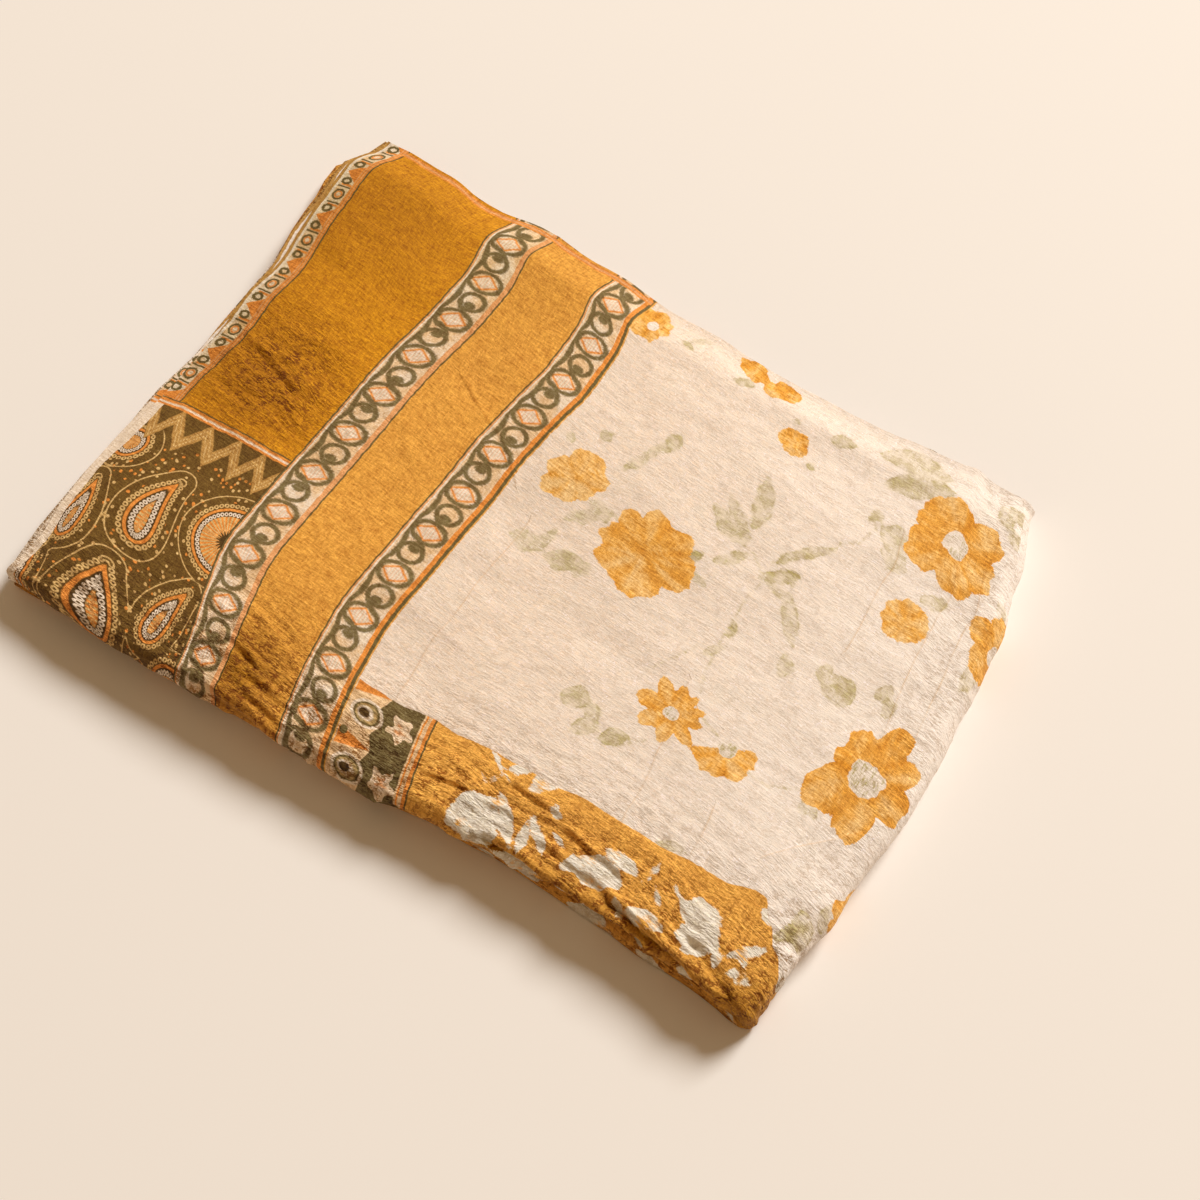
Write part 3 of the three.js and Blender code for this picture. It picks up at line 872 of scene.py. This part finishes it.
RAIL_LINES = [(ORANGE, 0.2, 2.9, 0.3), (WHITE, 0.0, 0.8, 0.5), (INK, 3.6, 0.5, 0.3)]
SECOND_GOLD = (154.8, 213.2)
STAR_BLOCK = (254.8, 309.4)
FIELD_FROM = 254.6
FRONT_FROM = 316.8
SELVAGE = (20.0, 253.0, 440.8)  # its line's start, end and place across
CHAIN_SIDE = (33.0, 64.0)  # how far the chains' cells lie from the middle between the two borders


def chain(p, v, rough):
    """Ink of the two chain borders, and the diamonds' orange and pale parts."""
    second = over(p, BLOCK_END, 0.5)
    w = p - (second * (BORDER_2 - BORDER_1) + BORDER_1)
    t = (v - 22.0 - second * 3.0) / BORDER_REPEAT
    at_round = (calc("FRACT", t) - 0.5) * BORDER_REPEAT
    at_diamond = repeat(t * BORDER_REPEAT, BORDER_REPEAT)
    mirror = calc("SIGN", calc("SINE", t * math.pi))
    x, y = both(mirror, w - 0.6), both(mirror, at_round)
    ring = abs(length((x - 2.0) / 9.2, y / 7.6) - 1.0) * 8.2 - 1.45
    ring = calc("MAXIMUM", ring, 2.8 - length(x + 4.4, y + 6.0))
    blob = (length((x - 1.6) / 4.6, (y + 3.9) / 2.9) - 1.0) * 3.2
    tail_along = (x + 5.8) * 0.815 - (y + 3.5) * 0.578
    tail_across = (x + 5.8) * 0.578 + (y + 3.5) * 0.815
    bow = both(tail_along, tail_along - 17.0) * 0.02
    tail = calc("MAXIMUM", abs(tail_across - bow) - 1.7, abs(tail_along - 8.5) - 9.6)
    wave = calc("COSINE", t * (2 * math.pi))
    edge = abs(w + 12.6 + wave * 1.7) - (1.55 - wave * 0.5)
    bead = abs(length(w + 13.2, at_diamond) - 2.2) - 0.85
    lens = abs(length(w / 13.0, at_diamond / 8.8) - 1.0) * 8.7 - 1.2
    ink = under(least(ring, blob, tail, edge, bead, lens) + rough * 1.6, 0.4, 0.6)
    rhomb = abs(w) / 12.0 + abs(at_diamond) / 7.8
    orange = under(rhomb, 1.0, 0.08)
    pale = both(under(rhomb, 0.76, 0.1), 1.0 - over(calc("SINE", w * 2.6), 0.35, 0.3) * 0.3)
    return ink, orange, pale, under(abs(w), 14.8, 0.2)


def beads(s, away):
    """Small rings in a row along an outline."""
    return under(abs(length(repeat(s, 3.5), away) - 1.15), 0.5, 0.15)


def paisley_colour(p, v, q, d, s, grain):
    """The dense paisley block: zigzag along its top edge, then outlined drops among small dots."""
    ground = mix(EARTH, UMBER, grain)
    dots = node("ShaderNodeTexVoronoi")
    dots.inputs["Scale"].default_value = 1.0
    feed(dots.inputs["Vector"], point(p / 4.6, v / 4.6))
    dot_colour = mix(BEIGE, ORANGE, over(channels(Term(dots.outputs["Color"]))[0], 0.5, 0.02))
    dot = under(Term(dots.outputs["Distance"]), 0.26, 0.04)
    colour = mix(ground, dot_colour, both(dot, under(q, -26.0, 2.0)))
    colour = mix(colour, BEIGE, both(under(abs(d + 10.0), 0.45, 0.2), under(q, -24.0, 3.0)))
    colour = mix(colour, ground, both(over(d, -4.6, 0.2), under(d, 0.0, 0.2)))
    colour = mix(colour, BEIGE, beads(s, d + 2.3))
    inner = mix(EARTH, mix(ORANGE, BEIGE, over(calc("SINE", s * 1.5), 0.1, 0.4)), over(d, 6.6, 0.3))
    inner = mix(inner, EARTH, over(calc("SINE", s * 0.75) * 1.6 + d, 20.0, 0.4))
    inner = mix(inner, WHITE, beads(s, d - 4.6))
    inner = mix(ORANGE, inner, over(d, 2.0, 0.25))
    colour = mix(colour, inner, over(d, 0.0, 0.25))
    zig = abs(q * -1.0 - 8.0 - abs(calc("FRACT", p / 22.0) - 0.5) * 38.0) * 0.52
    zigzag = mix(TAN, ground, over(zig, 3.7, 0.5))
    stitches = both(over(calc("SINE", p * 3.1 + v * 1.3), -0.3, 0.3), under(abs(zig - 1.3), 0.6, 0.3))
    zigzag = mix(zigzag, BEIGE, stitches)
    return mix(zigzag, colour, both(under(q, -19.0, 1.0), over(zig, 4.0, 0.3)))


def star_colour(p, v, d, fibre, grain):
    """The star block: a row of eyes and orange points on cream, and stars on the dark ground."""
    first, size = STARS[1], STARS[3]
    t = v - first
    at_eye, at_point = repeat(t + 1.5, size), repeat(t - 16.0, size)
    saw = abs(repeat(t - 6.0, size / 2)) * 0.5
    ground = mix(mix(EARTH, INK, over(grain, 0.4, 0.2)), OLIVE, over(fibre, 0.58, 0.2))
    dark = over(p - saw, 278.5, 0.3)
    colour = mix(SAND, ground, dark)
    star = mix(mix(WHITE, SAND, over(fibre, 0.5, 0.2)), PINK, over(d, 6.0, 1.5))
    colour = mix(colour, star, both(over(d, 0.0, 0.3), over(p, 270.0, 0.3)))
    x = p - 271.0 + (grain - 0.5) * 3.0
    eye = length(x / 13.0, at_eye / 9.6)
    colour = mix(colour, WHITE, under(eye, 1.0, 0.05))
    colour = mix(colour, mix(BEIGE, OLIVE, over(fibre, 0.5, 0.2)), under(eye, 0.8, 0.06))
    colour = mix(colour, INK, under(abs(eye - 0.74), 0.06, 0.03))
    colour = mix(colour, WHITE, under(length((x + 1.0) / 6.4, at_eye / 4.4), 1.0, 0.12))
    colour = mix(colour, EARTH, under(length((x + 2.0) / 4.6, at_eye / 2.9), 1.0, 0.12))
    wedge = abs(at_point) - (283.0 - p) * 0.24
    colour = mix(colour, ORANGE, both(under(wedge, 0.0, 0.3), over(p, 256.0, 0.2)))
    spot = length(p - 259.5, repeat(t - 20.5, size))
    return mix(colour, INK, under(spot, 3.0, 0.3))


def end_motifs(p, v, ground, grain):
    """Rings, bars, scrolls and triangles by turns in the narrow band along the cloth's end."""
    x, y, z = p - 10.6, abs(repeat(v - 12.0, 46.0)), abs(repeat(v - 35.0, 46.0))
    round_ = length(x, y)
    colour = mix(ground, ORANGE, under(round_, 3.6, 0.6))
    colour = mix(colour, WHITE, under(round_, 2.0, 0.6))
    colour = mix(colour, INK, under(abs(round_ - 4.5) + (grain - 0.5), 0.9, 0.3))
    colour = mix(colour, INK, under(abs(y - 8.0), 0.8, 0.3))
    colour = mix(colour, ORANGE, both(under(abs(y - 10.4), 1.1, 0.3), over(x, -3.6, 0.3)))
    scroll = length(x * 0.8 + 0.8, z - 8.8)
    colour = mix(colour, INK, under(abs(scroll - 2.8) + (grain - 0.5) * 2.4, 1.1, 0.3))
    return mix(colour, ORANGE, over(x * 0.8 + 4.8 - z * 1.1, 0.0, 0.3))


SURFACE = {
    "Roughness": 0.78, "Specular IOR Level": 0.18, "Sheen Weight": 0.1, "Sheen Roughness": 0.45,
    "Sheen Tint": (1.0, 0.9, 0.76, 1.0),
}
WOBBLE = 1.7  # how far the print's edges stray
# tint of the darker dye and of the painted shade
DYE_AND_SHADE_TINT = (0.52, 0.45, 0.1)
# tint of the painted shade beside the creases
CREASE_SHADE_TINT = (0.96, 0.85, 0.72)
# tint of the painted shade in the crinkles' valleys
CRINKLE_SHADE_TINT = (0.36, 0.23, 0.1)
THREAD_TINT = (1.16, 1.22, 1.5)
GREY_SHARES = (0.75, 1.0, 1.3)  # how strongly the texture's tone acts on red, green and blue


def cloth_material():
    material = bpy.data.materials.new("printed_cloth")
    material.use_nodes = True
    Term.tree = material.node_tree
    shader = Term.tree.nodes["Principled BSDF"]
    p0, v0, q0 = parts("cloth_place")
    gold, middle, green = parts("field")
    petal, strong, dye_and_shade = parts("tones")
    d, s, _ = parts("block")
    fold, creased, crush = parts("crease")
    u, across, _ = parts("course")
    at = point(u, across)
    wobble = channels(cloud(at, 0.16, 2.0, colour=True))
    p = p0 + (wobble[0] - 0.5) * WOBBLE
    nudge = (wobble[1] - 0.5) * WOBBLE
    v, q = v0 + nudge, q0 + nudge
    blotch = cloud(at, 0.035, 3.0, 0.6)
    fibre = cloud(point((u - across * 0.2) / 5.0, across + u * 0.1), 0.62, 4.0, 0.68)
    slub = cloud(point(u, across / 4.0), 0.6, 3.0, 0.65)
    grain = cloud(at, 0.9, 2.0, 0.6)
    patchy = cloud(at, 0.12, 3.0, 0.62)
    wrinkle = abs(cloud(point(u / 5.5, across + u * 0.12 + fibre * 2.4), 0.36, 3.0, 0.6) - 0.5)
    slant = abs(cloud(point((u + across * 0.7) / 3.0, across - u * 0.35), 0.24, 3.0, 0.6) - 0.5)

    # the lines and grounds across the cloth
    top = stripes(p, 0, LINES_TO, LINE_ROWS + BORDERS)
    low = stripes(p, 0, LINES_TO, LOW_ROWS + BORDERS[:-1] + LOW_END)
    below = under(q, 0.0, 0.25)
    above = 1.0 - below
    colour = mix(top, low, below)

    # the narrow band along the cloth's end
    marks = end_motifs(p, v, mix(SAND, WHITE, over(blotch, 0.5, 0.05)), grain)
    colour = mix(colour, marks, both(within(p, MOTIF_LINE), above))

    # gold, leaf and white motifs
    rough_edge = (grain - 0.5) * 1.8
    field = both(over(p, FIELD_FROM, 0.2), above)
    far = over(u, 470.0, 150.0)
    colour = mix(colour, BLUSH, both(field, far, 0.8))
    flecks = both(over(fibre + slub * 0.5, 0.78, 0.14), 0.8 - far * 0.45)
    colour = mix(colour, PEACH, both(field, flecks))
    leafy = over(green + rough_edge * 1.6 + (fibre - 0.5) * 6.0, 0.0, 0.9)
    rim = both(near(green + (grain - 0.5) * 2.0, 0.9, 0.7, 0.6), over(patchy, 0.5, 0.06))
    speckle = (patchy - 0.5) * 3.2 + (grain - 0.5) * 1.6 + (fibre - 0.5) * 1.2
    deep = over(strong + (slub - 0.5) * 1.2 + speckle * 0.5 + rim * 0.3, 0.98, 0.45)
    shown = calc("MAXIMUM", strong * 0.6 + rim * 0.2 + speckle * 0.85 + 0.42, 0.12)
    colour = mix(colour, mix(LEAF, LEAF_DEEP, deep), both(field, leafy, least(shown, 1.0)))
    petals = mix(PETAL_DEEP, PETAL, over(petal, -0.3, 0.5))
    petals = mix(petals, PETAL_PALE, over(petal + fibre * 1.6, 1.25, 0.5))
    petal_edge = over(gold + rough_edge * 2.0 + (fibre - 0.5) * 3.0, 0.0, 0.35)
    colour = mix(colour, petals, both(field, petal_edge))
    core = mix(CREAM, LEAF_DEEP, both(over(slub + blotch, 1.04, 0.1), over(middle, 0.6, 1.0)))
    colour = mix(colour, core, both(field, over(middle + rough_edge, 0.0, 0.35)))
    whites = mix(SHELL, ASH, over(slub + fibre, 1.06, 0.14))
    whites = mix(whites, LIT_FRONT_GOLD, over(blotch + fibre * 0.5, 0.86, 0.06))
    in_front = over(p, FRONT_FROM, 0.2)
    front = both(below, in_front, over(d + rough_edge * 1.6 + (fibre - 0.5) * 3.0, 0.0, 0.5))
    colour = mix(colour, whites, front)

    # the star block, the paisley block and its edge line
    in_stars = both(below, within(p, STAR_BLOCK))
    colour = mix(colour, star_colour(p, v, d, fibre, grain), in_stars)
    in_block = both(below, within(p, PAISLEYS, 0.1))
    colour = mix(colour, paisley_colour(p, v, q, d, s, grain), in_block)
    along_rail = within(p, RAIL, 0.15)
    for line_colour, place, reach, soft in RAIL_LINES:
        colour = mix(colour, line_colour, both(near(q, place, reach, soft), along_rail))

    # the chain borders
    ink, orange, pale, band = chain(p, v, rough_edge)
    chains = mix(SAND, WHITE, over(blotch + grain * 0.4, 0.76, 0.1))
    chains = mix(mix(chains, ORANGE, orange), WHITE, pale)
    chains = mix(chains, INK, both(ink, least(grain * 0.7 + 0.6, 1.0)))
    side = abs(p - (BORDER_1 + BORDER_2) / 2)
    colour = mix(colour, chains, both(within(side, CHAIN_SIDE), band))

    # the selvage's line, and the gold band at the middle of the cloth's length
    line_start, line_end, selvage = SELVAGE
    along_selvage = within(p, (line_start, line_end), 0.6)
    colour = mix(colour, ORANGE, both(near(v, selvage, 2.4, 0.3), along_selvage))
    colour = mix(colour, PINK, both(near(v, selvage, 1.0, 0.4), along_selvage))
    colour = mix(colour, GOLD, over(p, MIDDLE_BAND, 0.3))

    # uneven dye with painted shade on the front roll and in its pleats, painted shade along the creases and
    # in the crinkles' valleys, fibres and grain
    # darker dye and painted shade, weaker on the front band's white flowers
    takes_dye_and_shade = above + both(below, in_front + within(p, SECOND_GOLD))
    dyed_and_shaded = both(dye_and_shade + (blotch - 0.5) * 0.3, takes_dye_and_shade, under(gold, 0.0, 0.5), 1.0 - front * 0.8)
    colour = tinted(colour, DYE_AND_SHADE_TINT, dyed_and_shaded)
    rich = 3.3 - channels(colour)[2] * 3.05
    tone = both(fibre * 0.56 + slub * 0.38 + grain * 0.3 + blotch * 0.12 - 0.68, rich)
    tone = tone + both(patchy - 0.5, rich - 0.9) * 0.34
    grey = node("ShaderNodeCombineColor")
    for socket, share in zip(grey.inputs[:3], GREY_SHARES):
        feed(socket, tone * share + 1.0)
    colour = shaded(colour, Term(grey.outputs[0]))
    # painted shade along one side of each pressed crease
    pressed = both(near(fold, 0.5, 0.5, 0.4), creased, over(grain + blotch, 0.95, 0.2))
    colour = tinted(colour, CREASE_SHADE_TINT, pressed)
    # painted shade in the crinkles' valleys, darker where the cloth is more crushed
    crinkle_shade = under(least(wrinkle, slant * 1.3) - crush * 0.014, 0.022, 0.015)
    crinkle_shade = both(crinkle_shade, least(crush * 1.2 + 0.24, 1.0), over(patchy, 0.49, 0.06), 1.0 - front * 0.6)
    colour = tinted(colour, CRINKLE_SHADE_TINT, crinkle_shade)
    thread = both(near(patchy, 0.5, 0.004, 0.006), over(slub, 0.5, 0.05), rich)
    colour = tinted(colour, THREAD_TINT, least(thread, 1.0))
    feed(shader.inputs["Base Color"], colour)

    # the weave's and the finest crinkles' relief
    height = both(wrinkle, crush * 3.2 + 0.65) + both(slant, crush * 2.4 + 0.4)
    height = height + (fibre + slub) * 0.14 + grain * 0.08
    height = height + both(over(fold, 0.0, 0.9), near(fold, 0.0, 4.0, 2.0), creased) * 0.3
    bump = node("ShaderNodeBump")
    bump.inputs["Strength"].default_value = 1.0
    bump.inputs["Distance"].default_value = MM
    feed(bump.inputs["Height"], height)
    Term.tree.links.new(bump.outputs[0], shader.inputs["Normal"])
    for name, value in SURFACE.items():
        shader.inputs[name].default_value = value
    return material


cloth = bpy.data.objects.new("cloth", cloth_mesh())
bpy.context.scene.collection.objects.link(cloth)
cloth.data.materials.append(cloth_material())
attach(cloth, "root")
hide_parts("folded_cloth")

# ---- floor, light and camera
FLOOR_HALF = 8.0
FLOOR = linear(251, 246, 241)
FILL_COLOUR = (1.0, 0.68, 0.38, 1.0)
FILL = 0.29
KEY_PLACE = (2.11, 9.89, 7.89)
KEY_SIZE = 5.1
KEY_POWER = 1780.0
KEY_COLOUR = (1.0, 0.99, 0.96)
EYE = (425.5, -570.5, 1313.0)
DOWN = 62.76
AZIMUTH = 32.7
LENS = 63.0
SENSOR = 36.0


def floor_material():
    material = bpy.data.materials.new("backdrop")
    material.use_nodes = True
    shader = material.node_tree.nodes["Principled BSDF"]
    shader.inputs["Base Color"].default_value = (*FLOOR, 1.0)
    shader.inputs["Roughness"].default_value = 0.9
    shader.inputs["Specular IOR Level"].default_value = 0.1
    return material


floor_mesh = bpy.data.meshes.new("floor")
corners = [(-1, -1), (1, -1), (1, 1), (-1, 1)]
floor_mesh.from_pydata([(x * FLOOR_HALF, y * FLOOR_HALF, 0) for x, y in corners], [], [(0, 1, 2, 3)])
floor = bpy.data.objects.new("floor", floor_mesh)
floor_mesh.materials.append(floor_material())
bpy.context.scene.collection.objects.link(floor)

world = bpy.data.worlds.new("studio")
world.use_nodes = True
world.node_tree.nodes["Background"].inputs[0].default_value = FILL_COLOUR
world.node_tree.nodes["Background"].inputs[1].default_value = FILL
bpy.context.scene.world = world


lamp_data = bpy.data.lights.new("key", "AREA")
lamp_data.shape = "DISK"
lamp_data.size = KEY_SIZE
lamp_data.energy = KEY_POWER
lamp_data.color = KEY_COLOUR
lamp = bpy.data.objects.new("key", lamp_data)
lamp.location = KEY_PLACE
lamp.rotation_mode = "QUATERNION"
lamp.rotation_quaternion = (-Vector(KEY_PLACE)).to_track_quat("-Z", "Y")
bpy.context.scene.collection.objects.link(lamp)

camera_data = bpy.data.cameras.new("camera")
camera_data.lens = LENS
camera_data.sensor_width = SENSOR
camera = bpy.data.objects.new("camera", camera_data)
camera.location = ((EYE[0] - MIDDLE[0]) * MM, (EYE[1] - MIDDLE[1]) * MM, EYE[2] * MM)
camera.rotation_euler = Euler((math.radians(90 - DOWN), 0.0, math.radians(AZIMUTH)), "XYZ")
bpy.context.scene.collection.objects.link(camera)
bpy.context.scene.camera = camera
bpy.context.scene.view_settings.view_transform = "Standard"
